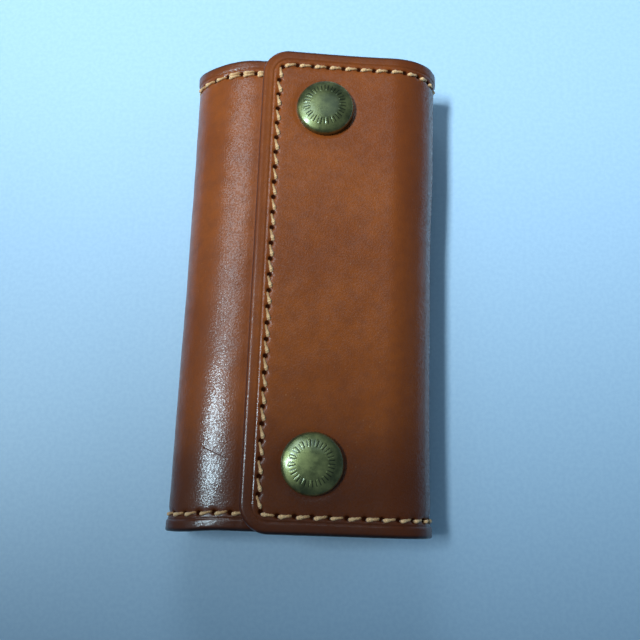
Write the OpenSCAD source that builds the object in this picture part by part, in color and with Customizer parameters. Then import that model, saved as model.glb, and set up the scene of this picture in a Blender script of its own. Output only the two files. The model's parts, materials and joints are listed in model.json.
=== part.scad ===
// Trifold leather key case, lying on its back and snapped shut.
// +Y runs along the folds towards the key rail, +Z is up, and the origin is on the
// surface that the case lies on, under the middle of the case.

/* [Case] */
// Length of the case, along its folds
case_l = 124.4; // [116:0.2:134]
// Width of the closed case
case_w = 65.2; // [62:0.2:70]
// Thickness of the closed case, without the snap caps
case_t = 25; // [24:0.5:28]
// Thickness of the cover leather
cover_t = 1.4; // [1.3:0.1:1.6]
// Thickness of the lining leather
lining_t = 1.2; // [1.1:0.1:1.3]
// Free height between the front flap and the inner flap
flap_gap = 2; // [2:0.1:2.4]
// Where the front flap's free edge lies, across the case
front_edge_x = -13.2; // [-16:0.1:-10]
// Where the inner flap's free edge lies, across the case
inner_edge_x = 13.5; // [13:0.5:15]
// Radius of the flaps' outer corners
corner_r = 7; // [5:0.5:9]
// Gap between two strips of a fold, where they hinge
strip_gap = 0.1; // [0.06:0.02:0.2]

/* [Stitching] */
// Distance from the cut edge to the middle of the seam
seam_inset = 4.3; // [3.4:0.1:5]
// Width of the stitching thread
thread_w = 0.8; // [0.6:0.1:1]
// Depth of the groove that the stitching lies in
groove_d = 0.3; // [0.2:0.05:0.4]

/* [Snaps] */
// Diameter of a snap cap
cap_d = 15; // [13:0.5:16]
// Height of a snap cap above the leather
cap_h = 3; // [2:0.1:3.4]
// Where the snaps lie, across the case
snap_x = 3.4; // [1:0.1:5]
// Distance between the two snaps
snap_pitch = 92; // [80:0.2:96]
// Point midway between the two snaps, along the case
snap_middle_y = 0; // [-1:0.1:1]
// How far the stud reaches into the socket
stud_lift = 1.45; // [1.4:0.05:1.5]

/* [Key rail] */
// Number of key hooks
hook_count = 4; // [2:1:4]
// Distance between neighbouring hooks
hook_pitch = 9.6; // [9:0.1:9.8]
// Height of the hooks' swivel axis above the lining
swivel_h = 4.8; // [4.6:0.1:5.4]
// Thickness of the hooks' wire
wire_d = 1.6; // [1.4:0.1:1.7]
// Length of a hook's straight sides
hook_side = 10.4; // [9:0.2:13]
// Clear width inside a hook
hook_inside = 5; // [4.6:0.1:5.2]

/* [Hidden] */
$fn = 96;
wall = cover_t + lining_t;
half_l = case_l / 2;
half_w = case_w / 2;
over = 1; // how far a cutting solid runs past what it cuts

// The folds are half round. Angles go from -90, where a fold leaves the back, to 90.
right_r = case_t / 2;
left_r = (case_t - wall - flap_gap) / 2;
inner_top = 2 * left_r;
hinge_angles = [-60, 0, 60];

// Snaps, from the top down
snap_names = ["upper", "lower"];
post_r = 1.7;
socket_r = 6.2;
socket_top = case_t - cover_t;
socket_bottom = inner_top + 0.5;
socket_bore_r = 3.5;
socket_lip = 0.35;
spring_slot = 0.6;
spring_t = 0.4;
stud_top = socket_bottom + stud_lift;
stud_head_r = 2.1;
stud_neck_r = 1.7;
stud_flange_r = 4.6;
stud_flange_t = 0.6;
stud_sunk = 0.5; // how deep the stud's flange is set into the cover
tube_r = 1.1;
fit_gap = 0.02; // between pieces that are fixed together
slide_gap = 0.1; // between a piece and its pocket in the leather

// Key rail
rail_x = (right_r - left_r) / -2; // middle of the flat part of the back
rail_w = 39;
rail_t = 0.8;
rail_y = 45; // front face of the upright lip
rail_base_l = 10;
rail_h = 8.9;
rivet_y = rail_y + 5.6;
rivet_r = 1.1;
rivet_head_r = 2.2;
rivet_clinch_t = 0.5;
swivel_z = wall + swivel_h;
swivel_r = 1;
swivel_head_r = 1.8;
swivel_gap = 0.05;
barrel_l = 3.2;

// Hooks, measured from the swivel axis
wire_r = wire_d / 2;
bend_r = hook_inside / 2 + wire_r; // middle of the wire
neck_y = rail_y - slide_gap - barrel_l;
shoulder_y = neck_y - 1.8 - bend_r; // centre of the upper bend
toe_y = shoulder_y - hook_side; // centre of the lower bend
nose_l = 1.6;
gate_pin_y = shoulder_y - 1.5;
gate_pin_r = 0.4;
gate_pin_gap = 0.05;
tab_t = 0.6;
ear_t = 0.4;

function snap_y(which) = snap_middle_y + (which == "upper" ? 1 : -1) * snap_pitch / 2;
function hook_x(i) = rail_x + (i - (hook_count + 1) / 2) * hook_pitch;

// ---------------------------------------------------------------- leather, in section

// Extrudes a section drawn in X and Z along Y, over a length centred on y
module along_y(y, l) {
    translate([0, y + l / 2, 0]) rotate([90, 0, 0]) linear_extrude(l) children();
}

// The part of a right-hand fold between two angles, and between two depths
module fold_section(r, top, bottom, from, to) {
    middle = (from + to) / 2;
    reach = 2 * r;
    translate([half_w - r, r]) intersection() {
        difference() {
            circle(r - top);
            circle(r - bottom);
        }
        polygon([[0, 0], for (a = [from, middle, to]) reach * [cos(a), sin(a)]]);
    }
}

// Half of the gap at a hinge, as an angle
function half_gap(r) = asin(strip_gap / 2 / r);

// One strip of a fold, between hinge k and hinge k + 1
module strip_section(r, k, top, bottom) {
    fold_section(r, top, bottom, hinge_angles[k] + half_gap(r), hinge_angles[k + 1] - half_gap(r));
}

// A flap's section, from its free edge to the last hinge of a right-hand fold
module flap_section(r, free_x, top, bottom) {
    translate([free_x, 2 * r - bottom]) square([half_w - r - free_x, bottom - top]);
    fold_section(r, top, bottom, hinge_angles[2] + half_gap(r), 90);
}

// The back's section
module back_section(top, bottom) {
    translate([left_r - half_w, top]) square([case_w - left_r - right_r, bottom - top]);
    fold_section(right_r, top, bottom, -90, hinge_angles[0] - half_gap(right_r));
    mirror([1, 0]) fold_section(left_r, top, bottom, -90, hinge_angles[0] - half_gap(left_r));
}

// ---------------------------------------------------------------- leather, in plan

// A flap seen from above, drawn in from its edges by an inset, with its free edge on the left
module flap_plan(free_x, inset) {
    r = corner_r - inset;
    side = half_l - inset;
    left = free_x + inset;
    translate([left + r, -side]) square([half_w + over - left - r, 2 * side]);
    translate([left, r - side]) square([r + over, 2 * (side - r)]);
    for (s = [-1, 1]) translate([left + r, s * (side - r)]) circle(r);
}

// The seam round a flap's three free sides
module seam_plan(free_x, width) {
    difference() {
        flap_plan(free_x, seam_inset - width / 2);
        flap_plan(free_x, seam_inset + width / 2);
    }
}

// The two seams at the ends of the folds and of the back
module end_seams(width) {
    for (s = [-1, 1]) along_y(s * (half_l - seam_inset), width) children();
}

// ---------------------------------------------------------------- leather pieces

module back_layer(top, bottom) {
    along_y(0, case_l) back_section(top, bottom);
}

module flap_layer(r, free_x, top, bottom) {
    intersection() {
        along_y(0, case_l) flap_section(r, free_x, top, bottom);
        translate([0, 0, r]) linear_extrude(r + over) flap_plan(free_x, 0);
    }
}

module flap_thread(r, free_x) {
    intersection() {
        along_y(0, case_l) flap_section(r, free_x, 0, groove_d);
        translate([0, 0, r]) linear_extrude(r + over) seam_plan(free_x, thread_w);
    }
}

module flap_groove(r, free_x) {
    intersection() {
        along_y(0, case_l) difference() {
            translate([free_x - over, r]) square([half_w - free_x + over, r + over]);
            flap_section(r, free_x, groove_d, wall);
            translate([half_w - r, r]) circle(r - groove_d);
            translate([free_x - over, 0]) square([half_w - r - free_x + over, 2 * r - groove_d]);
        }
        translate([0, 0, r]) linear_extrude(r + over) seam_plan(free_x, thread_w);
    }
}

module flap_cover(r, free_x) {
    difference() {
        flap_layer(r, free_x, 0, cover_t);
        flap_groove(r, free_x);
    }
}

module strip_cover(r, k) {
    difference() {
        along_y(0, case_l) strip_section(r, k, 0, cover_t);
        end_seams(thread_w) fold_section(r, -over, groove_d, hinge_angles[k] - 5, hinge_angles[k + 1] + 5);
    }
}

module strip_lining(r, k) {
    along_y(0, case_l) strip_section(r, k, cover_t, wall);
}

module strip_thread(r, k) {
    end_seams(thread_w) strip_section(r, k, 0, groove_d);
}

// Round holes through a flap or the back, at both snaps
module snap_holes(r, z, h) {
    for (which = snap_names) translate([snap_x, snap_y(which), z]) cylinder(h = h, r = r);
}

module back_cover() {
    color("saddlebrown") difference() {
        back_layer(0, cover_t);
        end_seams(thread_w) difference() {
            translate([-half_w, -over]) square([case_w, 3 * over]);
            back_section(groove_d, wall);
            translate([left_r - half_w, groove_d]) square([case_w - left_r - right_r, 3 * over]);
            translate([half_w - right_r, right_r]) circle(right_r - groove_d);
            translate([left_r - half_w, left_r]) circle(left_r - groove_d);
        }
        rivet_places() translate([0, 0, cover_t - rivet_clinch_t])
            cylinder(h = lining_t, r = rivet_head_r + slide_gap);
    }
}

module back_lining() {
    color("peru") difference() {
        back_layer(cover_t, wall);
        rivet_places() translate([0, 0, cover_t - over]) cylinder(h = wall, r = rivet_r + fit_gap);
    }
}

module back_thread() {
    color("tan") end_seams(thread_w) back_section(0, groove_d);
}

module right_lower_cover() { color("saddlebrown") strip_cover(right_r, 0); }
module right_lower_lining() { color("peru") strip_lining(right_r, 0); }
module right_lower_thread() { color("tan") strip_thread(right_r, 0); }
module right_upper_cover() { color("saddlebrown") strip_cover(right_r, 1); }
module right_upper_lining() { color("peru") strip_lining(right_r, 1); }
module right_upper_thread() { color("tan") strip_thread(right_r, 1); }

module left_lower_cover() { color("saddlebrown") mirror([1, 0, 0]) strip_cover(left_r, 0); }
module left_lower_lining() { color("peru") mirror([1, 0, 0]) strip_lining(left_r, 0); }
module left_lower_thread() { color("tan") mirror([1, 0, 0]) strip_thread(left_r, 0); }
module left_upper_cover() { color("saddlebrown") mirror([1, 0, 0]) strip_cover(left_r, 1); }
module left_upper_lining() { color("peru") mirror([1, 0, 0]) strip_lining(left_r, 1); }
module left_upper_thread() { color("tan") mirror([1, 0, 0]) strip_thread(left_r, 1); }

module front_cover() {
    color("saddlebrown") difference() {
        flap_cover(right_r, front_edge_x);
        snap_holes(post_r + fit_gap, right_r, case_t);
    }
}

module front_lining() {
    color("peru") difference() {
        flap_layer(right_r, front_edge_x, cover_t, wall);
        snap_holes(socket_r + slide_gap, right_r, case_t);
    }
}

module front_thread() { color("tan") flap_thread(right_r, front_edge_x); }

module inner_cover() {
    color("saddlebrown") difference() {
        mirror([1, 0, 0]) flap_cover(left_r, -inner_edge_x);
        snap_holes(stud_flange_r + slide_gap, inner_top - stud_sunk, case_t);
        snap_holes(tube_r + slide_gap, left_r, case_t);
    }
}

module inner_lining() {
    color("peru") difference() {
        mirror([1, 0, 0]) flap_layer(left_r, -inner_edge_x, cover_t, wall);
        snap_holes(tube_r + slide_gap, left_r, case_t);
    }
}

module inner_thread() { color("tan") mirror([1, 0, 0]) flap_thread(left_r, -inner_edge_x); }

// ---------------------------------------------------------------- snaps

// A snap piece is turned from a section in radius and height, at one of the two snaps
module turned_at(which) {
    translate([snap_x, snap_y(which), 0]) rotate_extrude() children();
}

// A ring or disc in section, from radius r0 to r1 and from z0 to z1
module ring(r0, r1, z0, z1) {
    translate([r0, z0]) square([r1 - r0, z1 - z0]);
}

module snap_cap(which) {
    cap_r = cap_d / 2;
    rim_r = 0.75;
    crown = cap_h - rim_r;
    dome_r = (pow(cap_r - rim_r, 2) + crown * crown) / (2 * crown);
    color("darkgoldenrod") turned_at(which) {
        intersection() {
            union() {
                translate([cap_r - rim_r, case_t + rim_r]) circle(rim_r);
                ring(0, cap_r - rim_r, case_t, case_t + rim_r);
                intersection() {
                    translate([0, case_t + cap_h - dome_r]) circle(dome_r);
                    ring(0, cap_r - rim_r, case_t, case_t + cap_h);
                }
            }
            ring(0, cap_r, case_t, case_t + cap_h);
        }
        ring(0, post_r, socket_top - 0.65, case_t);
    }
}

module socket(which) {
    edge_r = 0.5;
    slot_bottom = socket_bottom + socket_lip;
    slot_top = slot_bottom + spring_slot;
    color("goldenrod") turned_at(which) {
        ring(post_r + fit_gap, socket_r, socket_top - 0.7, socket_top);
        ring(socket_bore_r, socket_r, slot_top, socket_top);
        ring(socket_bore_r + 0.8, socket_r, slot_bottom, slot_top);
        ring(socket_bore_r, socket_r - edge_r, socket_bottom, slot_bottom);
        translate([socket_r - edge_r, slot_bottom]) intersection() {
            circle(min(edge_r, socket_lip));
            translate([0, -1]) square(1);
        }
    }
}

// A thin washer with slots that leave six fingers, which grip the stud's neck
module spring(which) {
    finger_count = 6;
    slot_w = 0.5;
    grip_r = 1.95;
    outer_r = socket_bore_r + 0.7;
    z = socket_bottom + socket_lip + (spring_slot - spring_t) / 2;
    color("silver") translate([snap_x, snap_y(which), z]) difference() {
        cylinder(h = spring_t, r = outer_r);
        translate([0, 0, -over]) cylinder(h = spring_t + 2 * over, r = grip_r);
        for (k = [0:finger_count - 1]) rotate([0, 0, k * 360 / finger_count])
            translate([0, -slot_w / 2, -over]) cube([socket_bore_r, slot_w, spring_t + 2 * over]);
    }
}

module stud(which) {
    flange_z = inner_top - stud_sunk;
    head_t = 0.55;
    bore_top = flange_z + 1.2;
    bore_r = tube_r + fit_gap;
    color("goldenrod") turned_at(which) {
        ring(bore_r, stud_flange_r, flange_z, flange_z + stud_flange_t);
        ring(bore_r, stud_neck_r, flange_z, bore_top);
        ring(0, stud_neck_r, bore_top, stud_top - head_t);
        ring(0, stud_head_r - 0.25, stud_top - head_t, stud_top);
        ring(0, stud_head_r, stud_top - head_t, stud_top - 0.25);
        intersection() {
            translate([stud_head_r - 0.25, stud_top - 0.25]) circle(0.25);
            ring(0, stud_head_r, stud_top - head_t, stud_top);
        }
    }
}

// The eyelet goes up from under the inner flap and is clinched inside the stud
module eyelet(which) {
    bottom = inner_top - wall;
    rim_t = 0.8;
    rim_r = 4.2;
    color("goldenrod") turned_at(which) {
        ring(0, tube_r, bottom - rim_t, inner_top - stud_sunk + 1.1);
        ring(0, rim_r - rim_t / 2, bottom - rim_t, bottom);
        intersection() {
            translate([rim_r - rim_t / 2, bottom - rim_t / 2]) circle(rim_t / 2);
            ring(0, rim_r, bottom - rim_t, bottom);
        }
    }
}

// ---------------------------------------------------------------- key rail and hooks

module rivet_places() {
    for (s = [-1, 1]) translate([rail_x + s * hook_pitch, rivet_y, 0]) children();
}

// A bracket of sheet metal: a base on the lining, and an upright lip with the swivel holes
module key_rail() {
    lip_r = 3;
    color("darkgoldenrod") difference() {
        union() {
            translate([rail_x - rail_w / 2, rail_y, wall]) cube([rail_w, rail_base_l, rail_t]);
            translate([0, rail_y + rail_t, wall]) rotate([90, 0, 0]) linear_extrude(rail_t)
                translate([rail_x, 0]) {
                    translate([-rail_w / 2, 0]) square([rail_w, rail_h - lip_r]);
                    translate([lip_r - rail_w / 2, 0]) square([rail_w - 2 * lip_r, rail_h]);
                    for (s = [-1, 1]) translate([s * (rail_w / 2 - lip_r), rail_h - lip_r]) circle(lip_r);
                }
        }
        for (i = [1:hook_count]) translate([hook_x(i), rail_y - over, swivel_z]) rotate([-90, 0, 0])
            cylinder(h = rail_t + 2 * over, r = swivel_r + swivel_gap);
        rivet_places() translate([0, 0, wall - over]) cylinder(h = rail_t + 2 * over, r = rivet_r + fit_gap);
    }
}

module rail_rivets() {
    head_t = 0.8;
    color("goldenrod") rivet_places() {
        translate([0, 0, cover_t - rivet_clinch_t]) cylinder(h = rivet_clinch_t, r = rivet_head_r);
        translate([0, 0, cover_t - rivet_clinch_t]) cylinder(h = wall + rail_t, r = rivet_r);
        translate([0, 0, wall + rail_t]) cylinder(h = head_t, r1 = rivet_head_r, r2 = rivet_head_r - 0.6);
    }
}

// Children are drawn with the swivel axis along +Y through the origin
module at_hook(i) {
    translate([hook_x(i), 0, swivel_z]) children();
}

// A round bar along Y, centred across on x
module bar_y(x, y0, y1, r) {
    translate([x, y0, 0]) rotate([-90, 0, 0]) cylinder(h = y1 - y0, r = r);
}

// A bend of the wire in the XY plane, about a centre on the swivel axis
module bend(y, from, sweep) {
    translate([0, y, 0]) rotate([0, 0, from]) rotate_extrude(angle = sweep)
        translate([bend_r, 0]) circle(wire_r);
}

module hook_swivel(i) {
    head_l = 1;
    back_y = rail_y + rail_t + slide_gap;
    color("darkgoldenrod") at_hook(i) difference() {
        union() {
            bar_y(0, neck_y, neck_y + barrel_l, swivel_head_r);
            bar_y(0, neck_y, back_y + head_l, swivel_r);
            bar_y(0, back_y, back_y + head_l, swivel_head_r);
        }
        bar_y(0, neck_y - over, neck_y + 2, wire_r + fit_gap);
    }
}

module hook_loop(i) {
    shoulder_top = shoulder_y + bend_r;
    color("darkgoldenrod") at_hook(i) difference() {
        union() {
            bar_y(0, shoulder_top - wire_r / 2, neck_y + 1.9, wire_r);
            bend(shoulder_y, 0, 180);
            bar_y(-bend_r, toe_y, shoulder_y, wire_r);
            bend(toe_y, 180, 180);
            bar_y(bend_r, toe_y, toe_y + nose_l, wire_r);
            bar_y(bend_r, gate_pin_y + wire_r + 0.2, shoulder_y, wire_r);
            translate([bend_r - wire_r, gate_pin_y, -tab_t / 2]) cube([wire_d, shoulder_y - gate_pin_y, tab_t]);
            translate([bend_r, gate_pin_y, -tab_t / 2]) cylinder(h = tab_t, r = wire_r);
        }
        translate([bend_r, gate_pin_y, -over]) cylinder(h = 2 * over, r = gate_pin_r + fit_gap);
    }
}

// The gate's fork straddles the hook's tab, and its pin is fixed in the tab
module hook_gate(i) {
    tip_y = toe_y + nose_l + 0.15;
    fork_y = gate_pin_y - wire_r - 0.2;
    inner_z = tab_t / 2 + gate_pin_gap;
    color("goldenrod") at_hook(i) difference() {
        union() {
            bar_y(bend_r, tip_y, fork_y, wire_r);
            for (s = [-1, 1]) translate([bend_r, 0, s * (inner_z + ear_t / 2)]) {
                translate([-wire_r * 0.8, fork_y - 0.6, -ear_t / 2])
                    cube([1.6 * wire_r, gate_pin_y - fork_y + 0.6, ear_t]);
                translate([0, gate_pin_y, -ear_t / 2]) cylinder(h = ear_t, r = wire_r * 0.8);
            }
        }
        translate([bend_r, gate_pin_y, -over]) cylinder(h = 2 * over, r = gate_pin_r + gate_pin_gap);
    }
}

module hook_gate_pin(i) {
    pin_l = tab_t + 2 * (gate_pin_gap + ear_t) + 0.1;
    color("silver") at_hook(i) translate([bend_r, gate_pin_y, -pin_l / 2])
        cylinder(h = pin_l, r = gate_pin_r);
}

// ---------------------------------------------------------------- what is drawn

back_cover();
back_lining();
back_thread();
right_lower_cover();
right_lower_lining();
right_lower_thread();
right_upper_cover();
right_upper_lining();
right_upper_thread();
front_cover();
front_lining();
front_thread();
left_lower_cover();
left_lower_lining();
left_lower_thread();
left_upper_cover();
left_upper_lining();
left_upper_thread();
inner_cover();
inner_lining();
inner_thread();
key_rail();
rail_rivets();
for (which = snap_names) {
    snap_cap(which);
    socket(which);
    spring(which);
    stud(which);
    eyelet(which);
}
for (i = [1:hook_count]) {
    hook_swivel(i);
    hook_loop(i);
    hook_gate(i);
    hook_gate_pin(i);
}
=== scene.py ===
"""A leather key case: detailed leather, stitching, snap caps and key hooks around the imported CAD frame.

Lengths are in millimetres until a mesh is made. The leather is described on the flat sheet that the
case is cut from: s runs across the case, from the front flap's free edge over the right-hand fold,
the back and the left-hand fold to the inner flap's free edge, and v runs along the case.
"""
import json
import math

import bpy
import numpy as np
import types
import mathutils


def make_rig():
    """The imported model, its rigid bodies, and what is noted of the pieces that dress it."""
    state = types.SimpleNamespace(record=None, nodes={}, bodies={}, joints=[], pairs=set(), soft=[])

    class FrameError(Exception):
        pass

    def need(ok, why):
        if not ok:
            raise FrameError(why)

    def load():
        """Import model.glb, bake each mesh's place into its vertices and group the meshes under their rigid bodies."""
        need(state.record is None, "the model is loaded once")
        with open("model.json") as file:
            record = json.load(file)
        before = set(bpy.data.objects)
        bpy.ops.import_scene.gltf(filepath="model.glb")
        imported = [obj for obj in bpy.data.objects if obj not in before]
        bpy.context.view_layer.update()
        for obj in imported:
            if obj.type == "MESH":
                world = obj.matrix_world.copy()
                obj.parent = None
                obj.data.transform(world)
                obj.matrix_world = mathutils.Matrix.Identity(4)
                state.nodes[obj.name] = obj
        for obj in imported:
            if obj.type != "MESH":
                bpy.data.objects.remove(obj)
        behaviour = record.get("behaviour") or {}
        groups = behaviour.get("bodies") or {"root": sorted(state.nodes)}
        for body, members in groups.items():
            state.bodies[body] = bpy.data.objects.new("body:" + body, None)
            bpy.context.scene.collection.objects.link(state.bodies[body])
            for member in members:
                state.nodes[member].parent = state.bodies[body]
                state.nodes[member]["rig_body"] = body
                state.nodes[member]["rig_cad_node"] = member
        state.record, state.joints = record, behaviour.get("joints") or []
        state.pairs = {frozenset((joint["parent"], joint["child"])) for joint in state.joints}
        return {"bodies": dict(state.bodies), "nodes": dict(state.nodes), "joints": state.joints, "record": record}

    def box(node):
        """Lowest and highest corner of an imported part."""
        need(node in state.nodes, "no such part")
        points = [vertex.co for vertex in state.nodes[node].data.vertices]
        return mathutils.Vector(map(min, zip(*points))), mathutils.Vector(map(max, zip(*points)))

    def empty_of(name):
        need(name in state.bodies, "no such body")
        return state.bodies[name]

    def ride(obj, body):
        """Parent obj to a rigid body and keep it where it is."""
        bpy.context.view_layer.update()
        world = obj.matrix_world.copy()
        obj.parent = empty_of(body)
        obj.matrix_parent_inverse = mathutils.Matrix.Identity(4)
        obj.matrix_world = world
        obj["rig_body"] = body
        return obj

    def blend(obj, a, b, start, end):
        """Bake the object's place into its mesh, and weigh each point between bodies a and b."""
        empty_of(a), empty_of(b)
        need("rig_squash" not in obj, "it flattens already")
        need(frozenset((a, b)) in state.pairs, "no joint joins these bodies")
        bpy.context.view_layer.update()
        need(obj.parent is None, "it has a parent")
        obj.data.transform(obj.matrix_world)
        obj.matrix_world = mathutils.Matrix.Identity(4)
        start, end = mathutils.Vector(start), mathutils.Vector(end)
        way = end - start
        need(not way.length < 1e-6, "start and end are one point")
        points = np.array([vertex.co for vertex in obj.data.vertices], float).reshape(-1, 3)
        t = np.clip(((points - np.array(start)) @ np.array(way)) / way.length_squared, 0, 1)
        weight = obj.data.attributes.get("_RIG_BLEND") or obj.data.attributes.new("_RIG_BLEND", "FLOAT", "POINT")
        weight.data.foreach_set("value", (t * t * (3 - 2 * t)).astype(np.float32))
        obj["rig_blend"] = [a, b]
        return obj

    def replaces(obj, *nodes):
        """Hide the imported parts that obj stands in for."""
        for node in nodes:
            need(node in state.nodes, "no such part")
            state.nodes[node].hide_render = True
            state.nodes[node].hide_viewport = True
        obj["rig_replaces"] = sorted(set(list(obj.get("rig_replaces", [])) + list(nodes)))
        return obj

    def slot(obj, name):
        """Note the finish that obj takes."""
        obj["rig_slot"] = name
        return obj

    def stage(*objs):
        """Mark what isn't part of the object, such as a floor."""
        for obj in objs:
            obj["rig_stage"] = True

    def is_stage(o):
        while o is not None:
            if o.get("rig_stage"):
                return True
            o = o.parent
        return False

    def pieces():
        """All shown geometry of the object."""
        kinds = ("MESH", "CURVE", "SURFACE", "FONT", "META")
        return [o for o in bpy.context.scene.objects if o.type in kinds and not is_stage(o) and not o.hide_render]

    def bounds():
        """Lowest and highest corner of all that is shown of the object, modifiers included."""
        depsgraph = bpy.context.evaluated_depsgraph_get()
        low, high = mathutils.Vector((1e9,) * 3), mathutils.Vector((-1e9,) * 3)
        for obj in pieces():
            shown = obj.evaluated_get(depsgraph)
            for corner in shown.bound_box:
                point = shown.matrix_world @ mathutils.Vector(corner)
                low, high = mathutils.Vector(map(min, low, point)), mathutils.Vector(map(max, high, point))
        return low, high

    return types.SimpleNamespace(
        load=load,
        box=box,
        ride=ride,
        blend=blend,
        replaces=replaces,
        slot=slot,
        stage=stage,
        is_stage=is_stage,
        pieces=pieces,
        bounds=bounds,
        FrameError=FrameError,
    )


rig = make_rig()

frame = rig.load()
CAD_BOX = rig.bounds()

MM = 0.001


def corner_mm(node, end):
    """A CAD node's lowest (end 0) or highest (end 1) corner, in millimetres."""
    return [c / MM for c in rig.box(node)[end]]


# ------------------------------------------------------------------ camera

scene = bpy.context.scene
camera = bpy.data.objects.new("camera", bpy.data.cameras.new("camera"))
scene.collection.objects.link(camera)
camera.data.sensor_width = 36.0
camera.data.lens = 44.28
camera.location = (0.00905, -0.05481, 0.21414)
camera.rotation_euler = [math.radians(a) for a in (13.08, 1.06, 2.00)]
camera.data.clip_start = 0.01
scene.camera = camera
scene.view_settings.view_transform = "Standard"

# ------------------------------------------------------------------ sizes, from the frame

HALF_L = corner_mm("back_cover", 1)[1]
HALF_W = corner_mm("right_upper_cover", 1)[0]
CASE_T = corner_mm("front_cover", 1)[2]
INNER_TOP = corner_mm("inner_cover", 1)[2]
COVER_T = corner_mm("back_lining", 0)[2]
WALL = corner_mm("key_rail", 0)[2]
FRONT_EDGE_X = corner_mm("front_cover", 0)[0]
INNER_EDGE_X = corner_mm("inner_cover", 1)[0]
RIGHT_R = CASE_T / 2
LEFT_R = INNER_TOP / 2
RIGHT_X = HALF_W - RIGHT_R  # centre of the right-hand fold
LEFT_X = LEFT_R - HALF_W
CAP_R = (corner_mm("upper_cap", 1)[0] - corner_mm("upper_cap", 0)[0]) / 2
CAP_H = corner_mm("upper_cap", 1)[2] - CASE_T
SNAP_X = (corner_mm("upper_cap", 1)[0] + corner_mm("upper_cap", 0)[0]) / 2
SNAP_Y = {which: (corner_mm(f"{which}_cap", 1)[1] + corner_mm(f"{which}_cap", 0)[1]) / 2
          for which in ("upper", "lower")}

CORNER_R = 7.0
CREASE_D = 2.9  # the creased line, from the cut edge
SEAM_D = 4.3
SEAM_R = CORNER_R - SEAM_D
STITCH_PITCH = 4.12
RING_D = 6.6  # further than this from the edge the mesh is a plain grid
GLUE_GAP = 0.01  # between the cover's and the lining's hidden faces
FLAP_RISE = 3.2  # the front flap rises by this much from its fold to its free edge
FLAP_CURVE = 1.3  # above 1 the rise is steeper near the free edge
INNER_CROWN = 1.3  # the inner flap is higher at its fold than under the snaps
LEFT_DRAWN = 6.8  # the left-hand fold's upper half is drawn out towards the middle
LEFT_FULLNESS = 1.86
LEFT_SLIP = 0.8  # the left-hand fold has slipped down the case
FRONT_STRETCH = 0.0055  # the share by which the front flap is longer than the back
RIGHT_WIDER = 0.5  # the right-hand fold is wider at its upper end
SECTION_STEPS = 400  # points in each part of the case's section
SMOOTH_REACH = 60  # points on each side that the section's smoothing takes in


# ------------------------------------------------------------------ the sheet in space

def ease(t):
    """A smooth step from 0 to 1."""
    t = np.clip(t, 0, 1)
    return t * t * (3 - 2 * t)


def quarter(centre, semi, start, end, fullness=2.0):
    """Part of an ellipse between two angles in degrees, as X and Z; below 2 it is less full."""
    a = np.radians(np.linspace(start, end, SECTION_STEPS))
    x, z = (np.sign(c) * np.abs(c) ** (2 / fullness) for c in (np.cos(a), np.sin(a)))
    return centre[0] + semi[0] * x, centre[1] + semi[1] * z


def section_parts():
    """The cover's outer face in section, from the front flap's free edge to the inner flap's."""
    along = np.linspace(0, 1, SECTION_STEPS)
    at_snaps = (RIGHT_X - SNAP_X) / (RIGHT_X - FRONT_EDGE_X)
    front_x = FRONT_EDGE_X + along * (RIGHT_X - FRONT_EDGE_X)
    front_z = CASE_T + FLAP_RISE * ((1 - along) ** FLAP_CURVE - at_snaps ** FLAP_CURVE)
    fold_top = front_z[-1]
    right = quarter((RIGHT_X, fold_top / 2), (RIGHT_R, fold_top / 2), 90, -90)
    crown = INNER_TOP + INNER_CROWN
    left_x = LEFT_X + LEFT_DRAWN
    left_low = quarter((LEFT_X, crown / 2), (LEFT_R, crown / 2), 270, 180)
    left_high = quarter((left_x, crown / 2), (left_x + HALF_W, crown / 2), 180, 90, LEFT_FULLNESS)
    inner_x = left_x + along * (INNER_EDGE_X - left_x)
    flat_x = SNAP_X - 5  # from here on the inner flap is flat
    inner_z = crown - INNER_CROWN * ease((inner_x - left_x) / (flat_x - left_x))
    return [(front_x, front_z), right, left_low, left_high, (inner_x, inner_z)]


def way_along(x, z):
    """The distance of each point of a line from its first point, along the line."""
    return np.concatenate([[0], np.cumsum(np.hypot(np.diff(x), np.diff(z)))])


def smoothed(line):
    """Evenly spaced values, averaged so that the curvature has no jumps; both ends stay."""
    weights = np.exp(-np.linspace(-2.5, 2.5, 2 * SMOOTH_REACH + 1) ** 2)
    weights /= weights.sum()
    before = 2 * line[0] - line[SMOOTH_REACH:0:-1]
    after = 2 * line[-1] - line[-2:-SMOOTH_REACH - 2:-1]
    return np.convolve(np.concatenate([before, line, after]), weights, "valid")


def section():
    """The whole section as one smooth line: the way along it, X and Z."""
    parts = section_parts()
    x, z = (np.concatenate([part[k] for part in parts]) for k in (0, 1))
    way = way_along(x, z)
    keep = np.concatenate([[True], np.diff(way) > 1e-9])
    even = np.linspace(0, way[-1], 4001)
    x, z = (smoothed(np.interp(even, way[keep], c[keep])) for c in (x, z))
    return way_along(x, z), x, z


WAY, SECTION_X, SECTION_Z = section()
SHEET_L = WAY[-1]
TANGENT_X, TANGENT_Z = np.gradient(SECTION_X, WAY), np.gradient(SECTION_Z, WAY)


def split_place(x, which):
    """Where the section passes a given X; which counts the passes, from 0 or back from -1."""
    passed = np.flatnonzero(np.diff(np.sign(SECTION_X - x)) != 0)
    return float(WAY[passed[which]])


S_RIGHT, S_BACK = split_place(RIGHT_X, 0), split_place(RIGHT_X, 1)
S_LEFT, S_INNER = split_place(LEFT_X, -2), split_place(LEFT_X, -1)
FRONT_L = S_RIGHT
INNER_L = SHEET_L - S_INNER


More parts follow.
